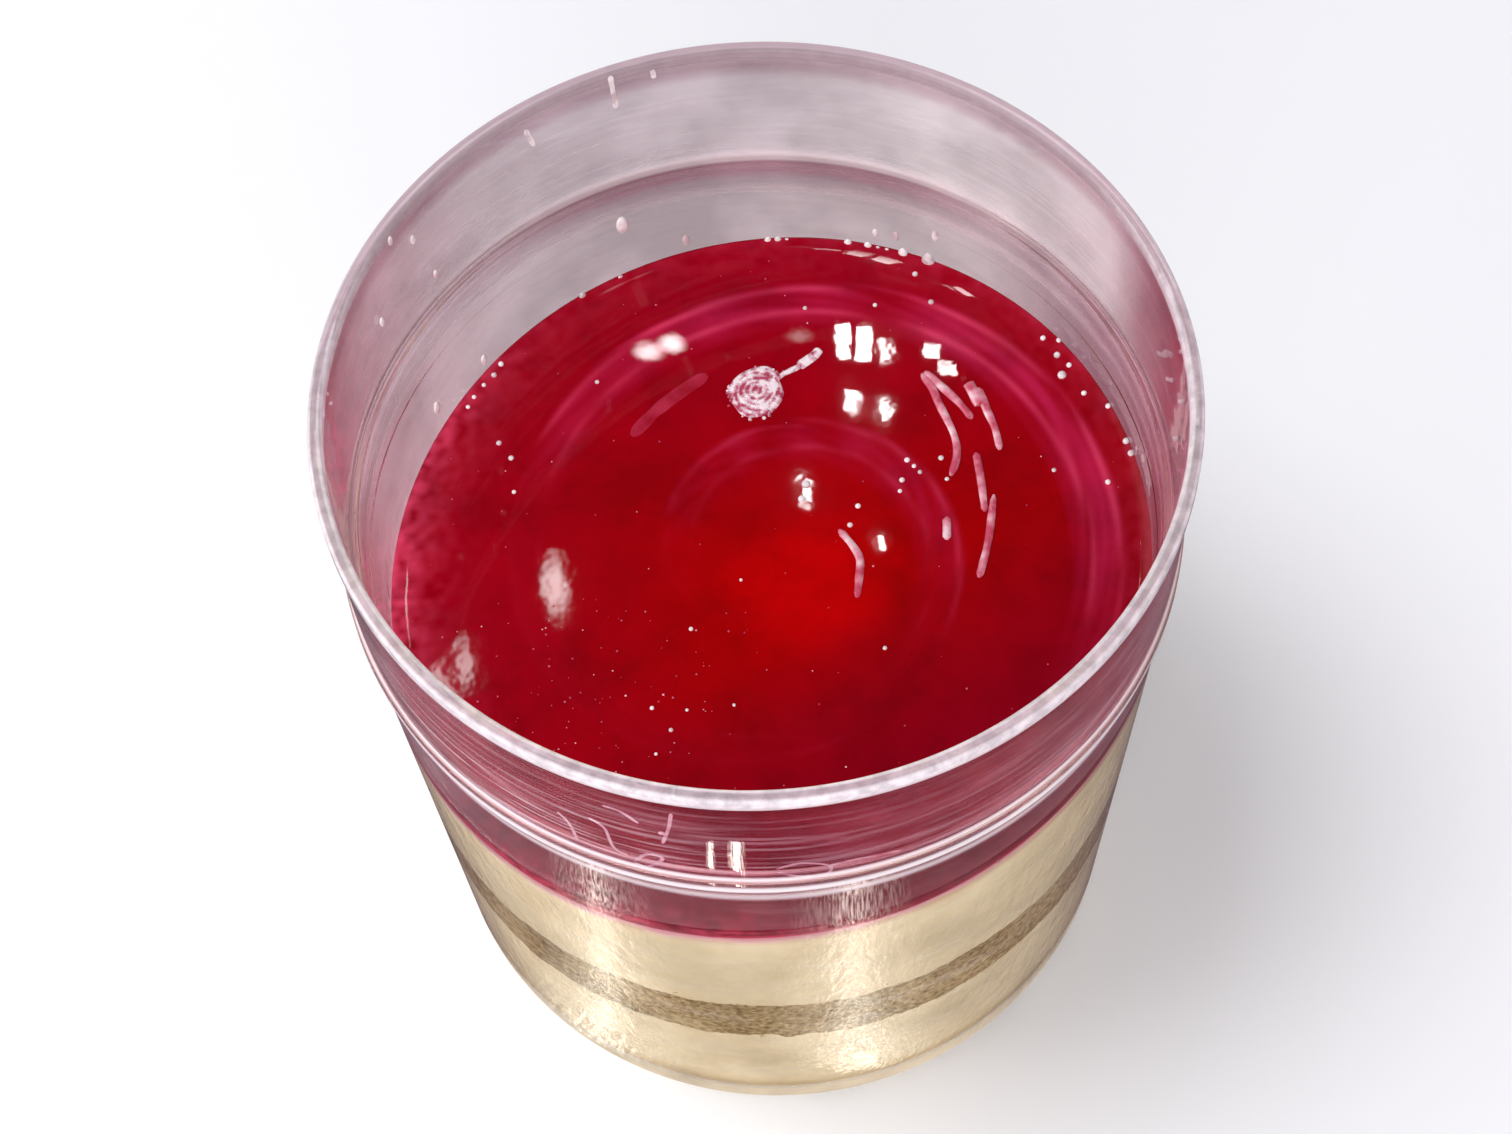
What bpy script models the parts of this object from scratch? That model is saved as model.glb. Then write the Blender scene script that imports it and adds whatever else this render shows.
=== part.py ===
"""Layered cheesecake dessert, set in its own clear plastic cup.

The cup is a tapered tumbler with a rounded lip, a lid collar and a small
ledge under it. From its floor up it holds cream, a band of crumb sponge, a
second cream whose top is dished, and a glossy red jelly poured into the dish.
Metres, +Z up, with the origin at the centre of the cup's foot.
"""
import math

import bmesh
import bpy

MM = 0.001
COLLECTION = "cheesecake_cup"
SEGMENTS = 64

# The cup
CUP_HEIGHT = 90.5 * MM
RIM_RADIUS = 42.5 * MM
LIP_WIDTH = 1.4 * MM
LIP_HEIGHT = 2.3 * MM
LIP_PROUD = 0.4 * MM
EDGE_ROUND = 0.5 * MM
COLLAR_DEPTH = 18.5 * MM
COLLAR_DRAFT = 0.1 * MM
LEDGE_HEIGHT = 2.6 * MM
LEDGE_PROUD = 0.5 * MM
LEDGE_ROUND = 0.4 * MM
BODY_TOP_RADIUS = 41.8 * MM
BODY_BASE_RADIUS = 38.6 * MM
WALL = 1.6 * MM
CORNER_RADIUS = 2.6 * MM
INNER_CORNER_RADIUS = 2.2 * MM
FLOOR_THICKNESS = 1.8 * MM
FOOT_WIDTH = 3.2 * MM
FOOT_RECESS = 0.6 * MM

# The layers, as heights above the foot
SPONGE_BASE = 22.8 * MM
SPONGE_TOP = 33.0 * MM
SPONGE_UNEVEN = 0.5 * MM
SPONGE_WAVELENGTH = 27.0 * MM
JELLY_LEVEL = 57.3 * MM
JELLY_TILT_X = 0.092
JELLY_TILT_Y = 0.035
JELLY_SAG = 1.4 * MM
JELLY_EDGE_DEPTH = 1.3 * MM
JELLY_MIDDLE_DEPTH = 6.5 * MM
MENISCUS_RISE = 0.5 * MM
MENISCUS_REACH = 1.4 * MM
SWIRL_HEIGHT = 0.25 * MM
SWIRL_PITCH = 16.6 * MM
SWIRL_START = 0.11
SWIRL_CENTRE = (0.8 * MM, 1.7 * MM)
GAP = 0.3 * MM

# Worked out from the sizes above
SHOULDER_Z = CUP_HEIGHT - COLLAR_DEPTH
LEDGE_BOTTOM_Z = SHOULDER_Z - LEDGE_HEIGHT
COLLAR_RADIUS = RIM_RADIUS - LIP_PROUD
LIP_INNER_RADIUS = RIM_RADIUS - LIP_WIDTH


def clear_scene():
    for obj in list(bpy.data.objects):
        bpy.data.objects.remove(obj, do_unlink=True)


def make_material(name, colour, roughness, metallic=0.0, alpha=1.0):
    material = bpy.data.materials.new(name)
    material.use_nodes = True
    shader = material.node_tree.nodes["Principled BSDF"]
    shader.inputs["Base Color"].default_value = (*colour, 1.0)
    shader.inputs["Roughness"].default_value = roughness
    shader.inputs["Metallic"].default_value = metallic
    shader.inputs["Alpha"].default_value = alpha
    return material


def arc(centre_r, centre_z, radius, start, end, steps):
    """Points of a round stretch, with its angles in degrees from +X."""
    points = []
    for i in range(steps + 1):
        angle = math.radians(start + (end - start) * i / steps)
        points.append((centre_r + radius * math.cos(angle), centre_z + radius * math.sin(angle)))
    return points


def body_radius(z):
    """Outer radius of the tapered body at a height above the foot."""
    share = z / LEDGE_BOTTOM_Z
    return BODY_BASE_RADIUS + (BODY_TOP_RADIUS - BODY_BASE_RADIUS) * share


def inner_radius(z):
    """Radius of the cup's inside at a height, with its rounded bottom corner."""
    radius = body_radius(z) - WALL
    below = FLOOR_THICKNESS + INNER_CORNER_RADIUS - z
    if below <= 0:
        return radius
    below = min(below, INNER_CORNER_RADIUS)
    return radius - INNER_CORNER_RADIUS + math.sqrt(INNER_CORNER_RADIUS**2 - below**2)


def turned(name, profile, material, collection):
    """A profile in the XZ plane, given down its outer side, turned round Z."""
    mesh = bpy.data.meshes.new(name)
    bm = bmesh.new()
    corners = [bm.verts.new((r, 0.0, z)) for r, z in profile]
    for above, under in zip(corners, corners[1:]):
        bm.edges.new((above, under))
    bm.to_mesh(mesh)
    bm.free()
    obj = bpy.data.objects.new(name, mesh)
    collection.objects.link(obj)
    mesh.materials.append(material)
    screw = obj.modifiers.new("turn", "SCREW")
    screw.axis = "Z"
    screw.steps = SEGMENTS
    screw.render_steps = SEGMENTS
    screw.use_smooth_shade = True
    screw.use_merge_vertices = True
    screw.merge_threshold = 0.00001
    return obj


def cup_profile():
    """From the middle of the floor, up the inside, over the lip and down the outside."""
    inner_corner_z = FLOOR_THICKNESS + INNER_CORNER_RADIUS
    inner_corner_r = inner_radius(inner_corner_z) - INNER_CORNER_RADIUS
    points = [(0.0, FLOOR_THICKNESS), (inner_corner_r * 0.5, FLOOR_THICKNESS)]
    points += arc(inner_corner_r, inner_corner_z, INNER_CORNER_RADIUS, -90, 0, 5)

    body_inner_top = inner_radius(SHOULDER_Z)
    collar_inner_bottom = LIP_INNER_RADIUS - COLLAR_DRAFT
    points.append((inner_radius(SHOULDER_Z / 2), SHOULDER_Z / 2))
    points += arc(body_inner_top + EDGE_ROUND / 2, SHOULDER_Z - EDGE_ROUND / 2, EDGE_ROUND / 2, 180, 90, 2)
    points.append((collar_inner_bottom, SHOULDER_Z))

    points += arc(LIP_INNER_RADIUS + EDGE_ROUND, CUP_HEIGHT - EDGE_ROUND, EDGE_ROUND, 180, 90, 3)
    points += arc(RIM_RADIUS - EDGE_ROUND, CUP_HEIGHT - EDGE_ROUND, EDGE_ROUND, 90, 0, 3)
    points.append((RIM_RADIUS, CUP_HEIGHT - LIP_HEIGHT + LIP_PROUD))
    points.append((COLLAR_RADIUS, CUP_HEIGHT - LIP_HEIGHT))

    ledge_radius = BODY_TOP_RADIUS + LEDGE_PROUD
    points.append((COLLAR_RADIUS - COLLAR_DRAFT, SHOULDER_Z))
    points += arc(ledge_radius - LEDGE_ROUND, SHOULDER_Z - LEDGE_ROUND, LEDGE_ROUND, 60, 0, 2)
    points += arc(ledge_radius - LEDGE_ROUND, LEDGE_BOTTOM_Z + LEDGE_ROUND, LEDGE_ROUND, 0, -60, 2)
    points.append((BODY_TOP_RADIUS, LEDGE_BOTTOM_Z))

    foot_inner_radius = BODY_BASE_RADIUS - CORNER_RADIUS - FOOT_WIDTH
    points.append((body_radius(LEDGE_BOTTOM_Z / 2), LEDGE_BOTTOM_Z / 2))
    corner_r = body_radius(CORNER_RADIUS) - CORNER_RADIUS
    points += arc(corner_r, CORNER_RADIUS, CORNER_RADIUS, 0, -90, 5)
    points.append((foot_inner_radius, 0.0))
    points.append((foot_inner_radius - FOOT_RECESS, FOOT_RECESS))
    points.append((0.0, FOOT_RECESS))
    return points


def make_cup(material, collection):
    turned("cup", cup_profile(), material, collection)


def unevenness(x, y, wavelength, turn):
    """Gentle hills and hollows between minus one and plus one."""
    along = (x * math.cos(turn) + y * math.sin(turn)) * 2 * math.pi / wavelength
    across = (y * math.cos(turn) - x * math.sin(turn)) * 2 * math.pi / wavelength
    return 0.5 * (math.sin(along + 2 * turn) + math.cos(1.3 * across - turn))


def sponge_underside(x, y):
    return SPONGE_BASE + SPONGE_UNEVEN * unevenness(x, y, SPONGE_WAVELENGTH, 0.6)


def sponge_upper_side(x, y):
    return SPONGE_TOP + SPONGE_UNEVEN * unevenness(x, y, SPONGE_WAVELENGTH, 2.3)


def spiral_swirl(x, y):
    """Low spiral ridge left by spreading, gone at its middle and at the wall."""
    from_x = x - SWIRL_CENTRE[0]
    from_y = y - SWIRL_CENTRE[1]
    distance = math.hypot(from_x, from_y)
    turns = distance / SWIRL_PITCH + math.atan2(from_y, from_x) / (2 * math.pi) - SWIRL_START
    reach = min(distance / inner_radius(JELLY_LEVEL), 1.0)
    crest = 0.5 + 0.5 * math.cos(2 * math.pi * turns)
    return SWIRL_HEIGHT * math.sin(math.pi * reach) * crest**2


def jelly_surface(x, y):
    """The set jelly: a little tilted, lower in the middle, creeping up at the wall."""
    radius = inner_radius(JELLY_LEVEL)
    distance = math.hypot(x, y)
    tilt = JELLY_TILT_X * x + JELLY_TILT_Y * y
    sag = JELLY_SAG * max(1.0 - (distance / radius) ** 2, 0.0)
    meniscus = MENISCUS_RISE * math.exp((distance - radius) / MENISCUS_REACH)
    return JELLY_LEVEL + tilt - sag + spiral_swirl(x, y) + meniscus


def cream_dish(x, y):
    """Top of the upper cream: a dish under the jelly, shallow at the wall."""
    radius = inner_radius(JELLY_LEVEL)
    distance = min(math.hypot(x, y) / radius, 1.0)
    fullness = 1.0 - distance**4
    depth = JELLY_EDGE_DEPTH + (JELLY_MIDDLE_DEPTH - JELLY_EDGE_DEPTH) * fullness
    return JELLY_LEVEL + JELLY_TILT_X * x + JELLY_TILT_Y * y - depth


def cup_floor(x, y):
    return FLOOR_THICKNESS


def raised(surface):
    """The same surface, one gap higher, for the piece that lies on it."""
    return lambda x, y: surface(x, y) + GAP


def make_layer(name, under, over, rings_over, sides, rings_under, material, collection):
    """A drum turned at unit size, then stretched between two surfaces and the wall.

    rings_over and rings_under count the rings of its two faces, and sides
    lists the heights of its side's rings as shares from 1, the top, to 0.
    """
    profile = [(i / rings_over, 1.0) for i in range(rings_over + 1)]
    profile += [(1.0, share) for share in sides]
    profile += [(i / rings_under, 0.0) for i in range(rings_under, -1, -1)]
    guide = turned(name + "_guide", profile, material, collection)
    graph = bpy.context.evaluated_depsgraph_get()
    mesh = bpy.data.meshes.new_from_object(guide.evaluated_get(graph))
    bpy.data.objects.remove(guide, do_unlink=True)

    for vertex in mesh.vertices:
        share_x, share_y, height = vertex.co
        z = JELLY_LEVEL
        for _ in range(3):
            reach = inner_radius(z) - GAP
            x = share_x * reach
            y = share_y * reach
            bottom = under(x, y)
            z = bottom + (over(x, y) - bottom) * height
        vertex.co = (x, y, z)

    mesh.name = name
    mesh.shade_smooth()
    mesh.set_sharp_from_angle(angle=math.radians(40))
    obj = bpy.data.objects.new(name, mesh)
    collection.objects.link(obj)


def make_contents(materials, collection):
    fillet_share = INNER_CORNER_RADIUS / (SPONGE_BASE - FLOOR_THICKNESS)
    fillet_steps = 4
    fillet = [fillet_share * (1 - math.cos(math.pi / 2 * i / fillet_steps)) for i in range(fillet_steps, 0, -1)]
    make_layer("cream_lower", raised(cup_floor), sponge_underside,
               8, [0.5] + fillet, 2, materials["cream"], collection)
    make_layer("sponge", raised(sponge_underside), sponge_upper_side,
               8, [0.5], 8, materials["sponge"], collection)
    make_layer("cream_upper", raised(sponge_upper_side), cream_dish,
               8, [0.5], 8, materials["cream"], collection)
    make_layer("jelly", raised(cream_dish), jelly_surface,
               16, [], 8, materials["jelly"], collection)


def build():
    clear_scene()
    collection = bpy.data.collections.new(COLLECTION)
    bpy.context.scene.collection.children.link(collection)
    clear_plastic = make_material("clear_plastic", (0.90, 0.88, 0.90), 0.05, alpha=0.3)
    materials = {
        "cream": make_material("cream", (0.78, 0.62, 0.40), 0.55),
        "sponge": make_material("sponge", (0.45, 0.31, 0.16), 0.85),
        "jelly": make_material("jelly", (0.38, 0.0, 0.008), 0.06),
    }
    make_cup(clear_plastic, collection)
    make_contents(materials, collection)


build()
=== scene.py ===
"""Layered cheesecake dessert in its clear plastic cup: the looks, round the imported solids."""

import math
import random

import bmesh
import bpy
from mathutils import Matrix, Vector, noise
from mathutils.geometry import interpolate_bezier


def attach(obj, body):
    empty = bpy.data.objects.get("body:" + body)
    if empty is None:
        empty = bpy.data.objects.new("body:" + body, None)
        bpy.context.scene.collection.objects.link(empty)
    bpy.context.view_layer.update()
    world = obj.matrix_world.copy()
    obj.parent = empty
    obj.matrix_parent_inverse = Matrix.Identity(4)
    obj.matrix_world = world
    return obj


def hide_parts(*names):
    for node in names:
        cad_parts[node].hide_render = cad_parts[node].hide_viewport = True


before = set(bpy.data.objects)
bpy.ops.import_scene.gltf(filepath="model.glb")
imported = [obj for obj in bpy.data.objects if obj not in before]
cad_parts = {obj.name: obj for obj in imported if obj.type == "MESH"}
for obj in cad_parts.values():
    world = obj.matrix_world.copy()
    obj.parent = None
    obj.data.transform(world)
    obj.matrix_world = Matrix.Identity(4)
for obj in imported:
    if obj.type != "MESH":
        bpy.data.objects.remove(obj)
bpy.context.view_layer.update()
scene = bpy.context.scene


# The camera stands in front of the cup and looks down into it at about sixty
# degrees. Its place was fitted to the cup's rings in the photo, which is
# 1512 by 1134 pixels, and is given in rim radii from the middle of the rim.
cup_height = 0.0905
rim_radius = 0.0425
photo_wide, photo_high = 1512, 1134
focal_pixels = 3000
camera_back, camera_up = 3.591, 5.6525
camera_pitch = math.radians(60.877)
camera_yaw = math.radians(-0.174)
camera_roll = math.radians(-3.666)

eye = Vector((0, -camera_back * rim_radius, cup_height + camera_up * rim_radius))
view = (Matrix.Rotation(math.pi / 2 - camera_pitch, 3, "X") @ Matrix.Rotation(-camera_yaw, 3, "Y")
        @ Matrix.Rotation(camera_roll, 3, "Z"))

camera_data = bpy.data.cameras.new("photo_camera")
camera_data.sensor_width = 36
camera_data.lens = focal_pixels / photo_wide * camera_data.sensor_width
camera_data.clip_start = 0.01
camera = bpy.data.objects.new("photo_camera", camera_data)
camera.matrix_world = Matrix.Translation(eye) @ view.to_4x4()
scene.collection.objects.link(camera)
scene.camera = camera


def ray_through(px, py):
    """Direction from the camera through a pixel of the photo."""
    across = (px - photo_wide / 2) / focal_pixels
    up = (photo_high / 2 - py) / focal_pixels
    return (view @ Vector((across, up, -1))).normalized()


# A plain pale floor under the cup in a pale room, with soft light from above
# and from the front. The ceiling is dim and the large lamps put no shine on the
# wet jelly, so that it stays deep red, and the floor isn't mirrored in the wall.
def plain_finish(name):
    material = bpy.data.materials.new(name)
    material.use_nodes = True
    tree = material.node_tree
    return material, tree, tree.nodes["Principled BSDF"]


def give(tree, node, values):
    """Sets each named socket of a node, or joins another node's socket to it."""
    for key, value in values.items():
        if isinstance(value, bpy.types.NodeSocket):
            tree.links.new(value, node.inputs[key])
        else:
            node.inputs[key].default_value = value


def add_node(tree, kind, values=None, **settings):
    """One shader node of a kind, with its settings and its sockets."""
    node = tree.nodes.new("ShaderNode" + kind)
    for key, value in settings.items():
        setattr(node, key, value)
    give(tree, node, values or {})
    return node


def ranged(tree, value, low, high, to_low=0.0, to_high=1.0, **settings):
    """A value carried over from one range to another."""
    ends = {"Value": value, "From Min": low, "From Max": high, "To Min": to_low, "To Max": to_high}
    return add_node(tree, "MapRange", ends, **settings).outputs[0]


def ramp(tree, share, stops):
    """The colour at a share along a ramp, whose stops are places and colours or greys."""
    node = add_node(tree, "ValToRGB", {0: share})
    elements = node.color_ramp.elements
    while len(elements) < len(stops):
        elements.new(0.5)
    for element, (at, colour) in zip(elements, stops):
        element.position = at
        element.color = (*colour, 1) if isinstance(colour, tuple) else (colour, colour, colour, 1)
    return node.outputs[0]


def split(tree, place):
    return add_node(tree, "SeparateXYZ", {0: place}).outputs


def stood(name, bm, finish):
    """An object of one mesh in one material, in the scene."""
    mesh = bpy.data.meshes.new(name)
    bm.to_mesh(mesh)
    bm.free()
    mesh.materials.append(finish)
    thing = bpy.data.objects.new(name, mesh)
    scene.collection.objects.link(thing)
    return thing


floor_finish, tree, shader = plain_finish("pale_floor")
give(tree, shader, {"Base Color": (0.93, 0.95, 0.98, 1), "Roughness": 0.8, "Specular IOR Level": 0.1})
bm = bmesh.new()
bmesh.ops.create_grid(bm, x_segments=1, y_segments=1, size=3.0)
floor = stood("floor", bm, floor_finish)
floor.visible_glossy = False

world = bpy.data.worlds.new("room")
scene.world = world
world.use_nodes = True
tree = world.node_tree
way = add_node(tree, "TexCoord").outputs["Generated"]
rise = ranged(tree, split(tree, way)["Z"], -0.25, 1.0)
give(tree, tree.nodes["Background"], {"Color": ramp(tree, rise, [
    (0.19, (0.15, 0.10, 0.12)), (0.22, (0.87, 0.84, 0.88)), (0.73, (0.87, 0.84, 0.88)),
    (0.83, (0.05, 0.035, 0.045))])})


def set_at(place, side, up, back):
    """What puts a thing at a place, with its X, Y and Z along three directions."""
    return Matrix.Translation(place) @ Matrix((side, up, back)).transposed().to_4x4()


def lamp_at(name, place, facing, upright, wide, high, watts):
    """A rectangular lamp that faces a direction, with its height along another."""
    data = bpy.data.lights.new(name, "AREA")
    data.shape = "RECTANGLE"
    data.size = wide
    data.size_y = high
    data.energy = watts
    lamp = bpy.data.objects.new(name, data)
    back = -facing.normalized()
    side = upright.cross(back).normalized()
    lamp.matrix_world = set_at(place, side, back.cross(side), back)
    lamp.visible_camera = False
    lamp.visible_transmission = False
    scene.collection.objects.link(lamp)
    return lamp


def soft_light(name, place, wide, high, watts):
    """A large lamp that faces the cup and lights it, but isn't mirrored in it."""
    lamp = lamp_at(name, Vector(place), lit_spot - Vector(place), upwards, wide, high, watts)
    lamp.visible_glossy = False


def glint_light(name, place, facing, upright, wide, high, radiance):
    """A lamp that is only mirrored in what is glossy, and lights nothing else."""
    lamp = lamp_at(name, place, facing, upright, wide, high, radiance * math.pi * wide * high)
    lamp.visible_diffuse = False
    return lamp


upwards = Vector((0, 0, 1))
lit_spot = Vector((0, 0, 0.03))
soft_light("window_left", (-0.40, 0.03, 0.86), 0.5, 0.5, 5.2)
soft_light("front_fill", (-0.12, -0.88, 0.26), 0.6, 0.3, 4.1)
glint_light("bead_window", Vector((-0.75, 0.15, 0.45)), Vector((0.75, -0.15, -0.39)), upwards,
            0.45, 0.30, 14.0)


# The cup is one injection moulding in clear hard plastic: a rounded lip, a
# collar for a lid, a ledge outside with a shoulder inside it, and a tapered
# body on a narrow foot ring. It is turned from one profile.
lip_width = 0.0014
lip_height = 0.0023
lip_proud = 0.0004
edge_round = 0.0005
collar_depth = 0.0185
collar_draft = 0.0001
ledge_height = 0.0026
ledge_proud = 0.0005
ledge_round = 0.0004
body_top_radius = 0.0418
body_base_radius = 0.0386
wall = 0.0016
corner_radius = 0.0026
inner_corner_radius = 0.0022
floor_thickness = 0.0018
foot_width = 0.0032
foot_recess = 0.0006
tool_mark_depth = 0.000002
tool_mark_pitch = 0.0031
step_z = 0.0660
step_depth = 0.00008
step_half = 0.0001
cup_turns = 288

shoulder_z = cup_height - collar_depth
ledge_bottom_z = shoulder_z - ledge_height


def body_radius(z):
    return body_base_radius + (body_top_radius - body_base_radius) * z / ledge_bottom_z


def inner_radius(z):
    """Radius of the cup's inside at a height, with its rounded bottom corner."""
    radius = body_radius(z) - wall
    below = floor_thickness + inner_corner_radius - z
    if below <= 0:
        return radius
    below = min(below, inner_corner_radius)
    return radius - inner_corner_radius + math.sqrt(inner_corner_radius**2 - below**2)


def arc(centre_r, centre_z, radius, start, end, steps):
    points = []
    for i in range(steps + 1):
        angle = math.radians(start + (end - start) * i / steps)
        points.append((centre_r + radius * math.cos(angle), centre_z + radius * math.sin(angle)))
    return points


def straight(start, end, steps, mark=0.0):
    """Points between two ends, close to each at first, with faint turned marks between them."""
    (start_r, start_z), (end_r, end_z) = start, end
    length = math.hypot(end_r - start_r, end_z - start_z)
    close = 0.00005 / length
    points = []
    for share in [close] + [i / steps for i in range(1, steps)] + [1 - close]:
        swell = mark * math.sin(2 * math.pi * share * length / tool_mark_pitch) * math.sin(math.pi * share)
        points.append((start_r + (end_r - start_r) * share + swell, start_z + (end_z - start_z) * share))
    return points


def spun(profile, turns):
    """A profile of radius and height turned round Z: a quarter spun, then copied round."""
    bm = bmesh.new()
    corners = [bm.verts.new((r, 0, z)) for r, z in profile]
    edges = [bm.edges.new(pair) for pair in zip(corners, corners[1:])]
    bmesh.ops.spin(bm, geom=corners + edges, cent=(0, 0, 0), axis=(0, 0, 1),
                   angle=math.pi / 2, steps=turns // 4)
    quarter = bm.verts[:] + bm.edges[:] + bm.faces[:]
    for turn in (90, 180, 270):
        copied = bmesh.ops.duplicate(bm, geom=quarter)["geom"]
        bmesh.ops.rotate(bm, verts=[item for item in copied if isinstance(item, bmesh.types.BMVert)],
                         cent=(0, 0, 0), matrix=Matrix.Rotation(math.radians(turn), 3, "Z"))
    bmesh.ops.remove_doubles(bm, verts=bm.verts, dist=1e-6)
    return bm


def set_out(name, bm, finish, sharp=60):
    """A finished piece: smooth, in its material, riding on the cup."""
    bmesh.ops.recalc_face_normals(bm, faces=bm.faces)
    piece = stood(name, bm, finish)
    piece.data.shade_smooth()
    piece.data.set_sharp_from_angle(angle=math.radians(sharp))
    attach(piece, "root")
    return piece


def cup_profile():
    """From the middle of the floor, up the inside, over the lip and down the outside.

    A faint step runs round the inside under the shoulder, where the mould's core is jointed.
    """
    lip_inner = rim_radius - lip_width
    collar_radius = rim_radius - lip_proud
    ledge_radius = body_top_radius + ledge_proud
    lip_bottom = cup_height - lip_height
    inner_corner_z = floor_thickness + inner_corner_radius
    inner_corner_r = inner_radius(inner_corner_z) - inner_corner_radius
    small = edge_round / 2
    mould_step = [(inner_radius(step_z) - step_depth * (1 - (at / 2) ** 2), step_z + at * step_half)
                  for at in range(-2, 3)]
    rounds = [
        arc(inner_corner_r, inner_corner_z, inner_corner_radius, -90, 0, 10),
        mould_step,
        arc(inner_radius(shoulder_z) + small, shoulder_z - small, small, 180, 90, 6),
        arc(lip_inner - collar_draft - small, shoulder_z + small, small, -90, 0, 6),
        arc(lip_inner + edge_round, cup_height - edge_round, edge_round, 180, 90, 8),
        arc(rim_radius - edge_round, cup_height - edge_round, edge_round, 90, 0, 8),
        arc(rim_radius - small, lip_bottom + lip_proud + small, small, 0, -60, 5),
        arc(collar_radius + small, lip_bottom - small, small, 120, 180, 4),
        arc(collar_radius - collar_draft + small, shoulder_z + small, small, 180, 240, 4),
        arc(ledge_radius - ledge_round, shoulder_z - ledge_round, ledge_round, 60, 0, 6),
        arc(ledge_radius - ledge_round, ledge_bottom_z + ledge_round, ledge_round, 0, -60, 6),
        arc(body_top_radius + small, ledge_bottom_z - small, small, 120, 180, 4),
        arc(body_radius(corner_radius) - corner_radius, corner_radius, corner_radius, 0, -90, 10),
    ]
    rings = [8, 2, 1, 40, 1, 2, 1, 40, 1, 2, 1, 8]
    marks = [0, 0, 0, tool_mark_depth, 0, 0, 0, tool_mark_depth, 0, 0, 0, 0]
    profile = [(0, floor_thickness), (inner_corner_r * 0.97, floor_thickness)]
    for rounded, following, steps, mark in zip(rounds, rounds[1:], rings, marks):
        profile += rounded + straight(rounded[-1], following[0], steps, mark)
    profile += rounds[-1]
    foot_inner = body_base_radius - corner_radius - foot_width
    return profile + [(foot_inner, 0), (foot_inner - foot_recess, foot_recess), (0, foot_recess)]


def object_place(tree):
    """Where a point lies, in metres from the middle of the cup's foot."""
    return add_node(tree, "TexCoord").outputs["Object"]


def by_height(tree, z, stops):
    """A tone that changes up the cup, with its stops in metres above the foot."""
    share = ranged(tree, z, 0.0, cup_height)
    return ramp(tree, share, [(at / cup_height, colour) for at, colour in stops])


def by_way(tree, place, stops):
    """A tone that changes round the cup, with its stops in degrees from +X."""
    way = add_node(tree, "TexGradient", {0: place}, gradient_type="RADIAL").outputs["Fac"]
    return ramp(tree, way, [(0.5 + degrees / 360, colour) for degrees, colour in stops])


def maths(tree, operation, *values, **settings):
    node = add_node(tree, "Math", dict(enumerate(values)), operation=operation, **settings)
    return node.outputs[0]


def times(tree, *values, **settings):
    return maths(tree, "MULTIPLY", *values, **settings)


def vector_maths(tree, operation, *values):
    node = add_node(tree, "VectorMath", dict(enumerate(values)), operation=operation)
    return node.outputs["Vector" if operation in ("MULTIPLY", "SUBTRACT") else "Value"]


def scaled(tree, place, scale):
    return add_node(tree, "Mapping", {"Vector": place, "Scale": scale}).outputs[0]


def mottle(tree, place, scale, detail, roughness=0.5):
    """Soft random patches, mostly between 0.3 and 0.7."""
    texture = {"Vector": place, "Scale": scale, "Detail": detail, "Roughness": roughness}
    return add_node(tree, "TexNoise", texture).outputs[0]


def mixed(tree, share, first, second, blend="MIX"):
    node = add_node(tree, "Mix", data_type="RGBA", blend_type=blend)
    give(tree, node, {"Factor": share, "A": first, "B": second})
    return node.outputs[2]


def tinted(tree, colour, tint):
    return mixed(tree, 1.0, colour, tint, "MULTIPLY")


def bumped(tree, height, strength, distance, **under):
    """The way a surface faces once a height has been pressed into it."""
    relief = {"Height": height, "Strength": strength, "Distance": distance, **under}
    return add_node(tree, "Bump", relief).outputs[0]


jelly_level = 0.0573
jelly_tilt_x = 0.092
jelly_tilt_y = 0.035
neutral = (0.97, 0.95, 0.93)

plastic, tree, shader = plain_finish("clear_plastic")
place = object_place(tree)
at_x, at_y, at_z = split(tree, place)
from_axis = vector_maths(tree, "LENGTH", scaled(tree, place, (1.0, 1.0, 0.0)))
outside = ranged(tree, from_axis, 0.0413, 0.0416)
at_back = ranged(tree, at_y, 0.018, 0.038)

# Its tone by height, with painted cream at the foot, standing in for the cream that the rounded corner shows
# through it, and painted shade at the back just under the shoulder.
tint = by_height(tree, at_z, [
    (0.0048, (0.62, 0.53, 0.39)), (0.0062, neutral), (0.0720, neutral), (0.0724, 1.0), (0.0738, 1.0),
    (0.0742, 0.97), (0.0862, 0.97), (0.0872, (0.74, 0.62, 0.66)), (0.0880, (0.74, 0.62, 0.66))])
under_shoulder = by_height(tree, at_z, [
    (0.0670, 0.0), (0.0690, 0.45), (0.0704, 0.60), (0.0709, 1.0), (0.0721, 1.0), (0.0723, 0.0)])
tint_with_painted_shade = mixed(tree, times(tree, under_shoulder, at_back), tint, (0.40, 0.19, 0.24, 1))

# Painted reflection round the cup, above the food: reddest at the sides, where it mirrors the jelly, palest
# at the back right.
body_painted_reflection = by_way(tree, place, [
    (-178, (0.54, 0.32, 0.38)), (-90, (0.70, 0.45, 0.51)), (0, (0.50, 0.16, 0.24)), (30, (0.46, 0.26, 0.32)),
    (50, (0.64, 0.54, 0.56)), (125, (0.57, 0.48, 0.51)), (178, (0.54, 0.32, 0.38))])
collar_painted_reflection = by_way(tree, place, [
    (-178, (0.51, 0.23, 0.29)), (-125, (0.92, 0.46, 0.56)), (-92, (0.82, 0.20, 0.34)),
    (-55, (0.92, 0.46, 0.56)), (6, (0.44, 0.13, 0.19)), (18, (0.51, 0.27, 0.32)), (28, (0.84, 0.70, 0.72)),
    (62, (0.84, 0.74, 0.74)), (82, (0.69, 0.59, 0.61)), (130, (0.57, 0.47, 0.49)), (178, (0.51, 0.23, 0.29))])
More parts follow.
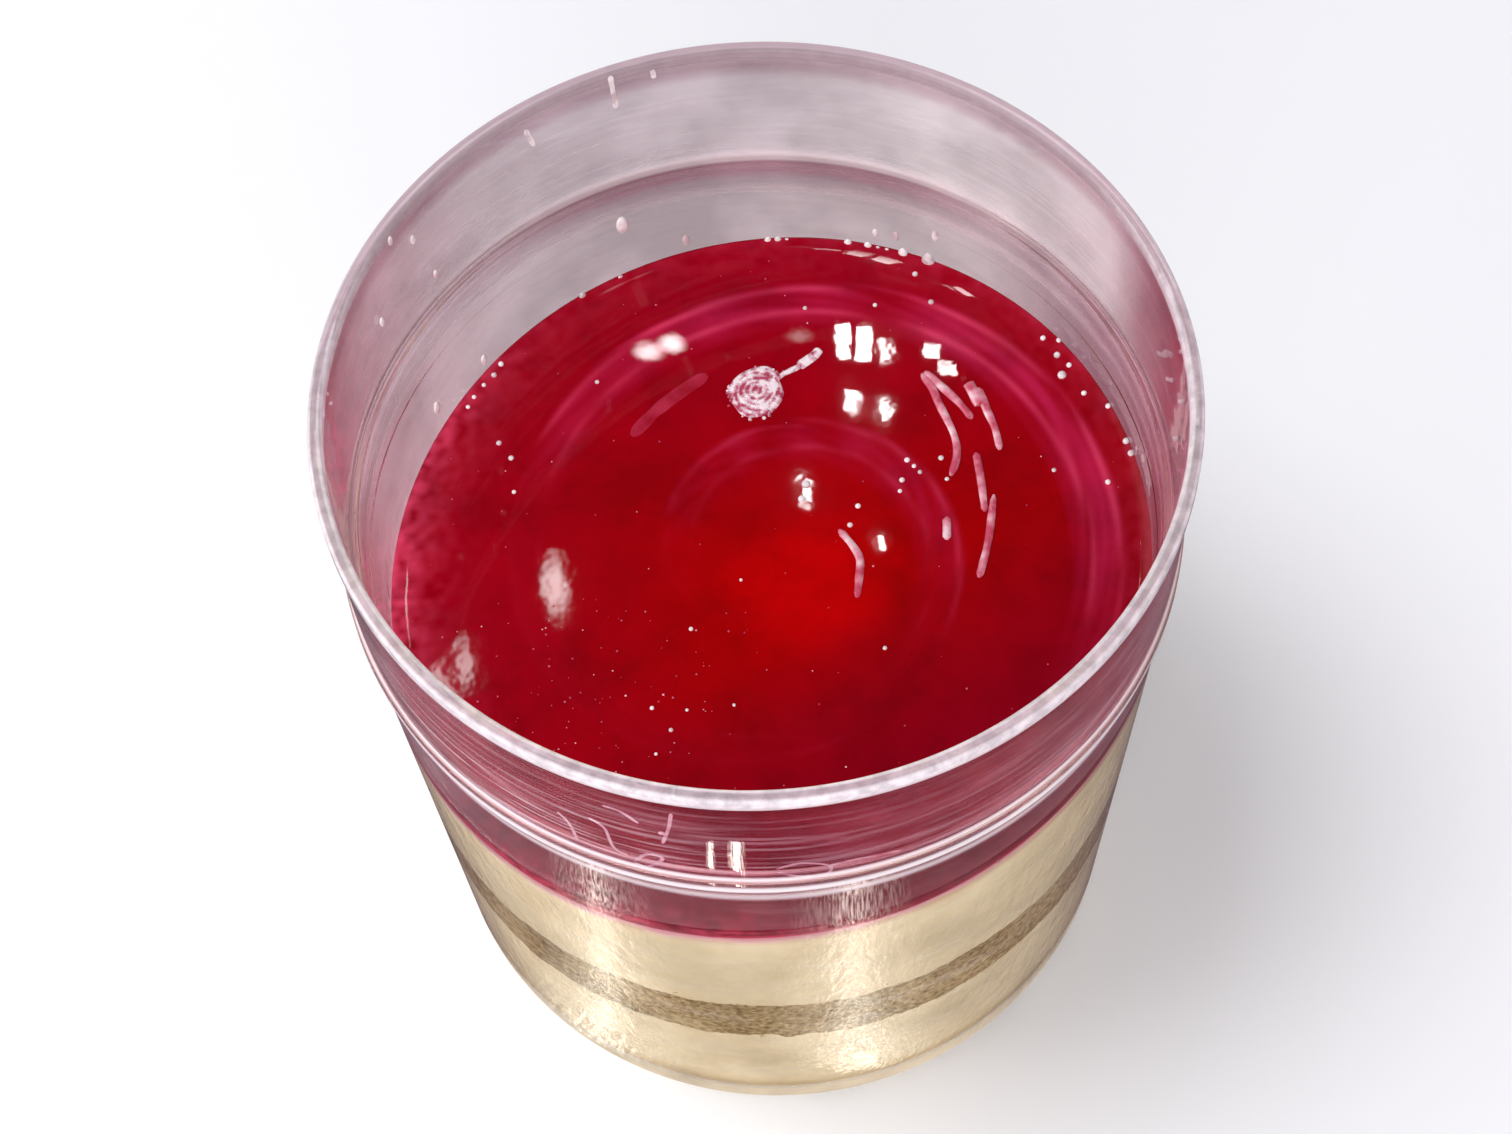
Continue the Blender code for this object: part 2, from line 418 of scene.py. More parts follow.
painted_reflection = mixed(tree, ranged(tree, at_z, 0.0722, 0.0730), body_painted_reflection, collar_painted_reflection)
level = vector_maths(tree, "DOT_PRODUCT", place, (-jelly_tilt_x, -jelly_tilt_y, 1.0))
over_food = ranged(tree, level, jelly_level - 0.0023, jelly_level - 0.0009)
mirroring = mixed(tree, over_food, (*neutral, 1), painted_reflection)
# Random patches, darker and lighter, over the tone and its painted reflection.
blotches = ranged(tree, mottle(tree, place, 70.0, 3.0, 0.62), 0.36, 0.62, 0.78, 1.08)
toned = tinted(tree, tinted(tree, tint_with_painted_shade, mirroring), blotches)

# Painted highlights, mixed towards white: along the outer ledge, in fine moulding lines above it that are
# stronger at the left, on the shoulder at the back and on the lip.
ledge_glow = by_height(tree, at_z, [
    (0.0662, 0.0), (0.0670, 0.75), (0.0675, 0.75), (0.0681, 0.25), (0.0694, 0.25), (0.0699, 1.0),
    (0.0706, 1.0), (0.0711, 0.10), (0.0717, 0.05), (0.0720, 0.75), (0.0724, 0.65), (0.0728, 0.0)])
hairs = mottle(tree, scaled(tree, place, (1.0, 1.0, 26.0)), 55.0, 3.0, 0.6)
lined = by_height(tree, at_z, [(0.0726, 0.0), (0.0732, 1.0), (0.0765, 0.9), (0.0850, 0.35)])
fine_lines = times(tree, ranged(tree, hairs, 0.48, 0.62, 0.0, 0.75), lined)
more_at_left = times(tree, fine_lines, ranged(tree, at_x, -0.030, 0.010, 1.0, 0.35))
ledge_painted_highlight = times(tree, maths(tree, "MAXIMUM", ledge_glow, more_at_left), outside)
shoulder_glow = by_height(tree, at_z, [(0.0723, 0.0), (0.0726, 0.55), (0.0736, 0.55), (0.0742, 0.0)])
lip_side = times(tree, ranged(tree, at_z, 0.0880, 0.0884, 0.0, 0.75),
                 ranged(tree, from_axis, 0.0421, 0.0424))
inside_glow = maths(tree, "MAXIMUM", times(tree, shoulder_glow, at_back), lip_side)
painted_highlight_share = maths(tree, "MAXIMUM", ledge_painted_highlight, inside_glow)
with_painted_highlights = mixed(tree, painted_highlight_share, toned, (1.0, 0.95, 0.98, 1))

# The lip has painted highlights along its two edges and a mottled grey between them; at the back it is
# duller, with a painted shadow along its inner edge.
across_lip = ranged(tree, from_axis, 0.0411, 0.0425)
lip_painted_highlights = ramp(tree, across_lip, [
    (0.0, (1.0, 0.96, 1.0)), (0.28, (1.0, 0.96, 1.0)), (0.42, (0.70, 0.61, 0.66)), (0.72, (0.70, 0.61, 0.66)),
    (0.84, (0.90, 0.83, 0.87)), (1.0, (0.92, 0.85, 0.89))])
beading = ranged(tree, mottle(tree, place, 700.0, 3.0, 0.6), 0.35, 0.65, 0.80, 1.15)
lip_back_painted_shadow = ramp(tree, across_lip, [
    (0.0, (0.28, 0.19, 0.21)), (0.16, (0.30, 0.21, 0.23)), (0.34, (0.66, 0.52, 0.57)),
    (1.0, (0.66, 0.52, 0.57))])
lip_painted_light = mixed(tree, ranged(tree, at_y, 0.0, 0.022, 0.0, 0.9), tinted(tree, lip_painted_highlights, beading), lip_back_painted_shadow)
finished = mixed(tree, ranged(tree, at_z, 0.0888, 0.0893), with_painted_highlights, lip_painted_light)

# How much light goes through: nearly all of it, less in the haze, at the foot, the ledge and the lip.
haze = mottle(tree, scaled(tree, place, (1.0, 1.0, 5.0)), 75.0, 4.0, 0.6)
solid = by_height(tree, at_z, [
    (0.0046, 0.0), (0.0062, 1.0), (0.0718, 1.0), (0.0720, 0.45), (0.0722, 0.45), (0.0728, 1.0), (0.0888, 1.0),
    (0.0893, 0.48)])
passing = times(tree, ranged(tree, haze, 0.50, 0.78, 1.0, 0.86), solid)
through = times(tree, passing, maths(tree, "MULTIPLY_ADD", painted_highlight_share, -0.72, 1.0))

# Cream smeared on the inside makes the lower body mirror softly, in upright dimples.
low_down = ranged(tree, at_z, 0.050, 0.058, 1.0, 0.0)
ripple = bumped(tree, mottle(tree, place, 60.0, 1.0), 0.10, 0.001)
dimples = mottle(tree, scaled(tree, place, (1.0, 1.0, 0.4)), 800.0, 2.0, 0.6)
give(tree, shader, {
    "Base Color": finished, "IOR": 1.27, "Specular Tint": (1.0, 0.58, 0.70, 1),
    "Transmission Weight": through, "Specular IOR Level": ranged(tree, at_z, 0.0030, 0.0130, 0.0, 0.5),
    "Roughness": maths(tree, "MAXIMUM", ranged(tree, haze, 0.35, 0.7, 0.008, 0.05),
                       ranged(tree, at_z, 0.050, 0.057, 0.07, 0.0)),
    "Normal": bumped(tree, times(tree, dimples, low_down), 0.6, 0.0003, Normal=ripple)})
shadow = add_node(tree, "LightPath").outputs["Is Shadow Ray"]
pass_light = add_node(tree, "BsdfTransparent", {"Color": (0.97, 0.955, 0.955, 1)})
seen = add_node(tree, "MixShader", {0: shadow, 1: shader.outputs[0], 2: pass_light.outputs[0]})
give(tree, tree.nodes["Material Output"], {"Surface": seen.outputs[0]})

cup = set_out("clear_cup", spun(cup_profile(), cup_turns), plastic, sharp=80)
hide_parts("cup")


def on_wall(px, py, radius_at, far):
    """Where the ray through a pixel meets a turned wall, on its far or its near side."""
    ray = ray_through(px, py)
    z = shoulder_z
    for _ in range(8):
        a = ray.x**2 + ray.y**2
        b = eye.x * ray.x + eye.y * ray.y
        c = eye.x**2 + eye.y**2 - radius_at(z)**2
        root = math.sqrt(max(b * b - a * c, 0.0))
        spot = eye + ray * ((-b + root if far else -b - root) / a)
        z = spot.z
    return spot


glare_height = 0.001
glare_colour = (1.0, 0.97, 0.84)
specks_across = 2200
specks_along = 700


def wall_glare(name, px, py_top, py_bottom, wide, radiance, radius_at):
    """A strip of light on the floor that the outer wall mirrors as an upright streak of specks."""
    ends = []
    for py in (py_top, py_bottom):
        spot = on_wall(px, py, radius_at, far=False)
        out = Vector((spot.x, spot.y, 0)).normalized()
        mirrored = ray_through(px, py).reflect(out)
        ends.append(spot + mirrored * ((glare_height - spot.z) / mirrored.z))
    along = ends[1] - ends[0]
    lamp = glint_light(name, (ends[0] + ends[1]) / 2, upwards, along, wide, along.length, radiance)
    lamp.data.color = glare_colour
    lamp.data.use_nodes = True
    tree = lamp.data.node_tree
    over_lamp = add_node(tree, "NewGeometry").outputs["Parametric"]
    across = split(tree, over_lamp)["X"]
    fade = ramp(tree, across, [(0.0, 0.0), (0.3, 0.25), (0.5, 1.0), (0.7, 0.25), (1.0, 0.0)])
    spread = scaled(tree, over_lamp, (wide * specks_across, along.length * specks_along, 1.0))
    specks = mottle(tree, spread, 1.0, 3.0, 0.7)
    strength = times(tree, fade, ranged(tree, specks, 0.42, 0.66, 0.0, 2.4))
    give(tree, tree.nodes["Emission"], {"Strength": strength})


def collar_outside(z):
    return rim_radius - lip_proud


glares = {
    "right": (858, 885, 1074, 0.0280, 3.6, body_radius),
    "left": (590, 890, 1062, 0.0260, 2.8, body_radius),
    "collar_711": (711, 852, 877, 0.0026, 40.0, collar_outside),
    "collar_737": (737, 848, 877, 0.0050, 40.0, collar_outside),
}
for name, glare in glares.items():
    wall_glare("glare_" + name, *glare)


# The fillings lie on each other and press against the wall, so each reaches a
# little way into it and no air shows between. Each is a drum of unit size,
# stretched between the surface below it and its own top.
sponge_base = 0.0228
sponge_top = 0.0330
sponge_uneven = 0.0005
sponge_wavelength = 0.027
jelly_sag = 0.0014
jelly_edge_depth = 0.0013
jelly_middle_depth = 0.0065
meniscus_rise = 0.0005
meniscus_reach = 0.0014
swirl_height = 0.00025
swirl_pitch = 0.0166
swirl_start = 0.11
swirl_centre = (0.0008, 0.0017)
jelly_radius = inner_radius(jelly_level)


def unevenness(x, y, wavelength, turn):
    """Gentle hills and hollows between minus one and plus one."""
    along = (x * math.cos(turn) + y * math.sin(turn)) * 2 * math.pi / wavelength
    across = (y * math.cos(turn) - x * math.sin(turn)) * 2 * math.pi / wavelength
    return 0.5 * (math.sin(along + 2 * turn) + math.cos(1.3 * across - turn))


def ragged(x, y, size, depth, seed):
    """Crumb-sized raggedness of an edge."""
    return depth * noise.noise(Vector((x / size, y / size, seed)))


def sponge_underside(x, y):
    edge = ragged(x, y, 0.0007, 0.0004, 3.1) + ragged(x, y, 0.0025, 0.0008, 8.4)
    return sponge_base + sponge_uneven * unevenness(x, y, sponge_wavelength, 0.6) + edge


def sponge_upper_side(x, y):
    edge = ragged(x, y, 0.0007, 0.0003, 5.7) + ragged(x, y, 0.003, 0.0006, 1.9)
    return sponge_top + sponge_uneven * unevenness(x, y, sponge_wavelength, 2.3) + edge


def swirl_turns(x, y):
    """How far from the swirl's middle, and its distance there in turns of the spiral."""
    from_x = x - swirl_centre[0]
    from_y = y - swirl_centre[1]
    distance = math.hypot(from_x, from_y)
    return distance, distance / swirl_pitch + math.atan2(from_y, from_x) / (2 * math.pi) - swirl_start


def spiral_swirl(x, y):
    """Low spiral ridge left by spreading, gone at its middle and at the wall."""
    distance, turns = swirl_turns(x, y)
    crest = 0.5 + 0.5 * math.cos(2 * math.pi * turns)
    return swirl_height * math.sin(math.pi * min(distance / jelly_radius, 1.0)) * crest**2


def calm_surface(x, y):
    """The set jelly: a little tilted, lower in the middle, creeping up at the wall."""
    distance = math.hypot(x, y)
    tilt = jelly_tilt_x * x + jelly_tilt_y * y
    sag = jelly_sag * max(1.0 - (distance / jelly_radius) ** 2, 0.0)
    meniscus = meniscus_rise * math.exp((distance - jelly_radius) / meniscus_reach)
    return jelly_level + tilt - sag + meniscus


def jelly_surface(x, y):
    return calm_surface(x, y) + spiral_swirl(x, y)


def cream_dish(x, y):
    """Top of the upper cream: a dish under the jelly, shallow at the wall."""
    distance = min(math.hypot(x, y) / jelly_radius, 1.0)
    fullness = 1.0 - distance**4
    depth = jelly_edge_depth + (jelly_middle_depth - jelly_edge_depth) * fullness
    return jelly_level + jelly_tilt_x * x + jelly_tilt_y * y - depth


def cup_floor(x, y):
    return floor_thickness - 0.0001


def lowered(surface, by):
    return lambda x, y: surface(x, y) - by


def filling(under, over, bite, turns, rings_over, side_rows, rings_under):
    """A layer between two surfaces, reaching into the wall by its bite."""
    shape = [(i / rings_over, 1.0) for i in range(rings_over + 1)]
    shape += [(1.0, 1.0 - i / side_rows) for i in range(1, side_rows)]
    shape += [(i / rings_under, 0.0) for i in range(rings_under, -1, -1)]
    bm = spun(shape, turns)
    for vertex in bm.verts:
        share_x, share_y, height = vertex.co
        z = sponge_base + (jelly_level - sponge_base) * height
        for _ in range(2):
            reach = inner_radius(z) + bite
            x = share_x * reach
            y = share_y * reach
            bottom = under(x, y)
            z = bottom + (over(x, y) - bottom) * height
        vertex.co = (x, y, z)
    return bm


# The two creams are one soft cheesecake cream, pale and a little warm, with a satin surface where it is
# smeared on the wall. The jelly has stained the upper one pink along the line where they meet, most of all on
# the left, and a painted highlight runs along as a paler band just under the pink.
cream_bite = 0.00012
stain_depth = 0.0018


def attribute(tree, name, kind="Fac"):
    """A value that a mesh carries at each of its points."""
    return add_node(tree, "Attribute", attribute_name=name).outputs[kind]


cream, tree, shader = plain_finish("cream")
place = object_place(tree)
smear = mottle(tree, scaled(tree, place, (1.0, 1.0, 0.45)), 160.0, 6.0, 0.65)
stain = attribute(tree, "stain")
# The stain's ramp starts with a painted highlight, paler than the cream, under the pink.
stain_and_painted_highlight = ramp(tree, stain, [
    (0.0, (0.98, 0.86, 0.66)), (0.35, (0.98, 0.76, 0.66)), (0.75, (0.86, 0.46, 0.48)),
    (1.0, (0.74, 0.26, 0.33))])
unstained = ramp(tree, smear, [(0.30, (0.79, 0.64, 0.40)), (0.70, (0.91, 0.77, 0.51))])
give(tree, shader, {
    "Base Color": mixed(tree, times(tree, stain, 2.2, use_clamp=True), unstained, stain_and_painted_highlight),
    "Roughness": 0.5, "Specular IOR Level": 0.25, "Normal": bumped(tree, smear, 0.25, 0.0002)})

cream_lower = set_out("cream_lower_filling",
                      filling(cup_floor, sponge_underside, cream_bite, 360, 6, 32, 4), cream)
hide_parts("cream_lower")

bm = filling(lowered(sponge_upper_side, 0.0002), cream_dish, cream_bite, 360, 14, 60, 6)
layer = bm.verts.layers.float.new("stain")
for vertex in bm.verts:
    below = cream_dish(vertex.co.x, vertex.co.y) - vertex.co.z
    patchy = 0.9 + 0.6 * noise.noise(vertex.co * 260)
    depth = stain_depth * (1.1 - 0.7 * vertex.co.x / jelly_radius) * patchy
    vertex[layer] = max(1.0 - below / depth, 0.0)
cream_upper = set_out("cream_upper_filling", bm, cream)
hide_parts("cream_upper")


# The sponge is a band of moist crumb, light brown with darker grains, which
# was laid on the first cream and pressed against the wall. Loose crumbs lie in
# the cream along both its edges.
sponge_bite = 0.00015
crumb_count = 900

crumb, tree, shader = plain_finish("sponge_crumb")
place = object_place(tree)
grain = mottle(tree, place, 1500.0, 3.0, 0.6)
browned = maths(tree, "MULTIPLY_ADD", mottle(tree, place, 130.0, 3.0), 0.45, grain)
give(tree, shader, {
    "Base Color": ramp(tree, browned, [
        (0.50, (0.16, 0.10, 0.035)), (0.68, (0.36, 0.245, 0.105)), (0.88, (0.60, 0.45, 0.24))]),
    "Roughness": 0.85, "Specular IOR Level": 0.15, "Normal": bumped(tree, grain, 0.5, 0.0004)})

bm = filling(lowered(sponge_underside, 0.0001), sponge_upper_side, sponge_bite, 720, 5, 26, 5)
for vertex in bm.verts:
    distance = math.hypot(vertex.co.x, vertex.co.y)
    if distance > inner_radius(vertex.co.z):
        crumble = 1.0 + 0.00010 * noise.noise(vertex.co * 1500) / distance
        vertex.co.x *= crumble
        vertex.co.y *= crumble
sponge = set_out("sponge_filling", bm, crumb)
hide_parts("sponge")


def ball_shape(subdivisions):
    """A faceted ball of unit radius, as a mesh to copy from."""
    bm = bmesh.new()
    bmesh.ops.create_icosphere(bm, subdivisions=subdivisions, radius=1.0)
    mesh = bpy.data.meshes.new("ball")
    bm.to_mesh(mesh)
    bm.free()
    return mesh


def add_copy(bm, shape, place):
    """Adds one copy of a shape to a bmesh, put in place by a matrix."""
    copy = shape.copy()
    copy.transform(place)
    bm.from_mesh(copy)
    bpy.data.meshes.remove(copy)


random.seed(11)
bm = bmesh.new()
bead = ball_shape(1)
for _ in range(crumb_count):
    turn = random.uniform(-math.pi, math.pi)
    side = random.choice((sponge_underside, sponge_upper_side))
    away = random.gauss(0, 0.0005)
    size = random.uniform(0.00008, 0.00026)
    near = inner_radius(sponge_top)
    z = side(near * math.cos(turn), near * math.sin(turn)) + away
    radius = inner_radius(z) + sponge_bite - 0.0001
    long = size * random.uniform(0.8, 1.7)
    high = size * random.uniform(0.6, 1.1)
    stretch = Matrix.Diagonal((size * 0.45, long, high, 1))
    add_copy(bm, bead, Matrix.Rotation(turn, 4, "Z") @ Matrix.Translation((radius, 0, z)) @ stretch)
set_out("loose_crumbs", bm, crumb)


# The jelly was poured warm into the dish and spread with a spoon, which left a low spiral under its level
# skin. It is deep red, with a painted glow brightest in the middle, and turns pink where it thins out on the
# wall and behind the spiral's crests; the pink on the crests is partly painted sheen, and along the left wall
# partly a painted highlight.
jelly_bite = 0.00016
glow_centre = (0.0055, -0.0005, 0.0)
glow_spread = (0.86, 1.15, 0.0)
spot_centre = (0.0040, -0.0020, 0.0555)
crest_outside = 0.0017
crest_inside = 0.0044
swirl_lines = {0.0008: 1.0, -0.0021: 0.8}
swirl_line_width = 0.0004
streak_size = 0.0009
thin_at_wall = 0.0022
thin_over_dish = 0.0007

jelly_red, tree, shader = plain_finish("jelly")
place = object_place(tree)
at_x, at_y, _ = split(tree, place)
cloud = mottle(tree, place, 60.0, 6.0, 0.6)
# A painted glow of light: brightest round the middle and fading outwards, with a brighter painted spot near
# the middle.
off_glow = vector_maths(tree, "MULTIPLY", vector_maths(tree, "SUBTRACT", place, glow_centre), glow_spread)
drifted = maths(tree, "MULTIPLY_ADD", cloud, 0.020, vector_maths(tree, "LENGTH", off_glow))
glow_falloff = ramp(tree, ranged(tree, drifted, 0.010, 0.058), [
    (0.0, (0.36, 0.0, 0.0005)), (0.30, (0.32, 0.0, 0.001)), (0.60, (0.27, 0.0, 0.002)),
    (0.92, (0.22, 0.0, 0.004))])
off_spot = maths(tree, "MULTIPLY_ADD", cloud, 0.014, vector_maths(tree, "DISTANCE", place, spot_centre))
painted_glow = mixed(tree, ranged(tree, off_spot, 0.0090, 0.0175, 0.85, 0.0), glow_falloff, (0.58, 0.0, 0.001, 1))

# It is cooler behind and on the left, with painted shade in front and on the right.
aside = maths(tree, "MAXIMUM", ranged(tree, at_y, 0.002, 0.036, 0.0, 0.6),
              ranged(tree, at_x, -0.006, -0.034, 0.0, 0.5))
cooler = mixed(tree, aside, painted_glow, (0.31, 0.0, 0.012, 1))
front_right = vector_maths(tree, "DOT_PRODUCT", place, (-0.45, 1.0, 0.0))
with_painted_front_shade = mixed(tree, ranged(tree, front_right, -0.009, -0.030, 0.0, 0.95), cooler, (0.20, 0.0, 0.007, 1))
# Pinker behind the swirl's crests, partly its own tone and partly painted sheen, and where it is thin, with a
# painted highlight along the left wall.
with_crest_tone_and_sheen = mixed(tree, attribute(tree, "crest"), with_painted_front_shade, (0.42, 0.010, 0.055, 1))
edged = mixed(tree, attribute(tree, "thin"), with_crest_tone_and_sheen, (0.72, 0.060, 0.140, 1))
flecks = ramp(tree, mottle(tree, place, 130.0, 6.0, 0.6), [(0.34, 0.78), (0.50, 0.96), (0.66, 1.06)])

# The swirl is in the mesh, but its skin shines as if it were level.
level_skin = attribute(tree, "calm", "Vector")
give(tree, shader, {
    "Base Color": tinted(tree, edged, flecks), "IOR": 1.38,
    "Roughness": ranged(tree, cloud, 0.35, 0.75, 0.015, 0.06),
    "Normal": bumped(tree, mottle(tree, place, 360.0, 2.0), 0.014, 0.001, Normal=level_skin)})


def jelly_out(spot):
    """Which way the jelly's level skin faces at a place."""
    step = 0.0001
    rise_x = calm_surface(spot.x + step, spot.y) - calm_surface(spot.x - step, spot.y)
    rise_y = calm_surface(spot.x, spot.y + step) - calm_surface(spot.x, spot.y - step)
    return Vector((-rise_x, -rise_y, 2 * step)).normalized()


def held(value, low=0.0, high=1.0):
    return min(max(value, low), high)


def jelly_tints(spot):
    """How pink the jelly is at a place: behind the swirl's crests, partly painted sheen, and where it is
    thin, partly a painted highlight along the left wall.
    """
    x, y, z = spot
    distance, turns = swirl_turns(x, y)
    beyond = (turns - round(turns)) * swirl_pitch
    turn = math.atan2(y, x)
    streaks = noise.noise(Vector((distance / streak_size, turn * 3, 0)))
    streaks += 0.6 * noise.noise(Vector((turn * 5, 7.3, 0)))
    towards_back = held((0.004 + y + 0.6 * x) / 0.028, 0.05)
    on_swirl = towards_back * held((distance - 0.006) / 0.006) * held((distance - 0.018) / 0.008, 0.5)
    on_crest = held(1.8 * (1.0 - abs(beyond) / (crest_outside if beyond > 0 else crest_inside)))
    lines = [share * math.exp(-(((beyond - at) / swirl_line_width) ** 2))
             for at, share in swirl_lines.items()]
    on_line = 0.45 * on_swirl * max(lines) * max(0.6 + 1.1 * streaks, 0.0)
    # Along the left wall the pink is also a painted highlight.
    left_side = held(0.45 - (0.75 * x + 0.9 * max(y, 0.0)) / jelly_radius, 0.12)
    speckled = 0.75 + 1.2 * noise.noise(spot * 900)
    thin_and_lit_wall = math.exp((math.hypot(x, y) - jelly_radius) / thin_at_wall) * left_side * speckled
    middle_share = 0.2 + 0.8 * max(math.exp(-((x / 0.011) ** 2)), held((x - 0.010) / 0.012))
    at_dish = max(1.0 - (z - cream_dish(x, y)) / thin_over_dish, 0.0) * middle_share
    return on_swirl * on_crest * max(0.60 + 0.7 * streaks, 0.0), held(max(thin_and_lit_wall, at_dish, on_line))


bm = filling(lowered(cream_dish, 0.0002), jelly_surface, jelly_bite, 360, 150, 10, 8)
crest_layer = bm.verts.layers.float.new("crest")
thin_layer = bm.verts.layers.float.new("thin")
calm_layer = bm.verts.layers.float_vector.new("calm")
for vertex in bm.verts:
    x, y, z = vertex.co
    if z > jelly_surface(x, y) - 0.00001:
        vertex[calm_layer] = jelly_out(vertex.co)
    elif math.hypot(x, y) > inner_radius(z):
        vertex[calm_layer] = Vector((x, y, 0)).normalized()
    else:
        vertex[calm_layer] = -upwards
    vertex[crest_layer], vertex[thin_layer] = jelly_tints(vertex.co)
jelly = set_out("jelly_filling", bm, jelly_red)
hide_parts("jelly")


def on_surface(px, py, surface):
    """Where the ray through a pixel meets a level surface."""
    ray = ray_through(px, py)
    z = jelly_level
    for _ in range(8):
        spot = eye + ray * ((z - eye.z) / ray.z)
        z = surface(spot.x, spot.y)
    return spot


def eased(corners, steps):
    """Points along a smooth line through given points."""
    ends = [corners[0]] + corners + [corners[-1]]
    line = [corners[0]]
    for before, start, end, after in zip(ends, ends[1:], ends[2:], ends[3:]):
        leaving = start + (end - before) / 6
        arriving = end - (after - start) / 6
        line += interpolate_bezier(start, leaving, arriving, end, steps + 1)[1:]
    return line


def swept(bm, line, outs, half_wide, half_high, sides=8):
    """An oval string drawn along a line that lies on a surface, thinner and uneven to its ends."""
    frames = []
    last = len(line) - 1
    for i, (spot, out) in enumerate(zip(line, outs)):
        ahead = (line[min(i + 1, last)] - line[max(i - 1, 0)]).normalized()
        side = ahead.cross(out).normalized()
        fullness = min(i / last, 1 - i / last) * 2
        swell = (0.35 + 0.65 * min(fullness * 6, 1.0)) * (1 + 0.25 * noise.noise(spot * 500))
        oval = Matrix.Diagonal((half_wide * swell, half_high * swell, 1, 1))
        frames.append(set_at(spot, side, ahead.cross(side), -ahead) @ oval)
    made = bmesh.ops.create_circle(bm, cap_ends=True, radius=1.0, segments=sides, matrix=frames[0])
    cap = made["verts"][0].link_faces[0]
    for before, after in zip(frames, frames[1:]):
        grown = bmesh.ops.extrude_face_region(bm, geom=[cap])["geom"]
        moved = [item for item in grown if isinstance(item, bmesh.types.BMVert)]
        bmesh.ops.transform(bm, matrix=after @ before.inverted(), verts=moved)
        cap = next(item for item in grown if isinstance(item, bmesh.types.BMFace))


# Strings of set jelly lie on the surface, most of them at the right, where a
# spoon was drawn off it, and a thin ribbon of it at the back left. They are
# paler than what they lie on, since light comes through them.
strings = {
    "branch": [(922, 374), (932, 388), (940, 406), (954, 435), (957, 456), (951, 476)],
    "branch_back": [(925, 372), (943, 388), (960, 404), (972, 419)],
    "outer": [(978, 388), (985, 406), (995, 429), (1000, 450)],
    "inner_low": [(976, 453), (981, 480), (985, 512)],
    "low": [(994, 495), (988, 543), (979, 578)],
    "short": [(947, 517), (947, 540)],
    "middle": [(839, 530), (852, 545), (860, 560), (859, 580), (857, 598)],
}
string_clot = [(968, 383), (974, 393), (982, 405)]
string_half_wide = 0.00042
string_half_high = 0.00022
string_lift = 0.4
ribbon_line = [(632, 436), (655, 412), (681, 392), (707, 375)]
ribbon_half_wide = 0.00075
ribbon_half_high = 0.00004

string_finish, tree, shader = plain_finish("jelly_string")
beaded = mottle(tree, object_place(tree), 500.0, 2.0)
give(tree, shader, {
    "Base Color": ramp(tree, beaded, [
        (0.40, (0.66, 0.09, 0.16)), (0.56, (0.90, 0.36, 0.45)), (0.70, (1.0, 0.80, 0.84))]),
    "IOR": 1.38, "Transmission Weight": 0.25, "Roughness": ranged(tree, beaded, 0.3, 0.7, 0.05, 0.25),
    "Normal": bumped(tree, beaded, 0.3, 0.0002)})


def draw_on_jelly(bm, pixels, half_wide, half_high):
    """A string along a line of pixels, lying on the jelly."""
    line = eased([on_surface(px, py, jelly_surface) for px, py in pixels], 6)
    outs = [jelly_out(spot) for spot in line]
    lying = [spot + out * half_high * string_lift for spot, out in zip(line, outs)]
    swept(bm, lying, outs, half_wide, half_high)


bm = bmesh.new()
for pixels in strings.values():
    draw_on_jelly(bm, pixels, string_half_wide, string_half_high)
draw_on_jelly(bm, string_clot, string_half_wide * 1.6, string_half_high * 1.3)
set_out("jelly_strings", bm, string_finish)

ribbon_finish, tree, shader = plain_finish("jelly_ribbon")
folds = mottle(tree, object_place(tree), 450.0, 4.0)
give(tree, shader, {
    "Base Color": ramp(tree, folds, [(0.35, (0.28, 0.002, 0.016)), (0.65, (0.40, 0.018, 0.052))]),
    "IOR": 1.38, "Specular IOR Level": 0.2, "Normal": bumped(tree, folds, 0.2, 0.0002)})

bm = bmesh.new()
draw_on_jelly(bm, ribbon_line, ribbon_half_wide, ribbon_half_high)
set_out("jelly_ribbon", bm, ribbon_finish)


# One flat bubble of froth was left on the jelly at the back, with rings round
# its middle, smaller bubbles along its rim and a tail drawn out to the right.
froth_at = (757, 393)
froth_radius = 0.0030
froth_height = 0.00035
froth_ring = 0.00062
tail_line = [(772, 383), (784, 374), (797, 368), (808, 361), (816, 355)]
tail_end = [(798, 367), (807, 361), (815, 355), (820, 349)]
tail_half_high = 0.0002
rim_bubbles = 22

centre = on_surface(*froth_at, jelly_surface)
froth, tree, shader = plain_finish("froth")
place = object_place(tree)
reach = vector_maths(tree, "DISTANCE", place, tuple(centre))
wandered = maths(tree, "MULTIPLY_ADD", mottle(tree, place, 330.0, 2.0), 0.0012, reach)
wave = maths(tree, "SINE", times(tree, wandered, 2 * math.pi / froth_ring))
foam = mottle(tree, place, 800.0, 3.0, 0.6)
ringed = maths(tree, "MULTIPLY_ADD", wave, ranged(tree, reach, 0.0030, 0.0036, 0.06, 0.0), foam)
give(tree, shader, {
    "Base Color": ramp(tree, ringed, [
        (0.38, (0.46, 0.06, 0.12)), (0.48, (0.76, 0.46, 0.55)), (0.58, (1.0, 0.90, 0.94))]),
    "IOR": 1.35, "Transmission Weight": 0.2, "Roughness": ranged(tree, foam, 0.3, 0.7, 0.10, 0.40),
    "Normal": bumped(tree, ringed, 0.5, 0.0002)})

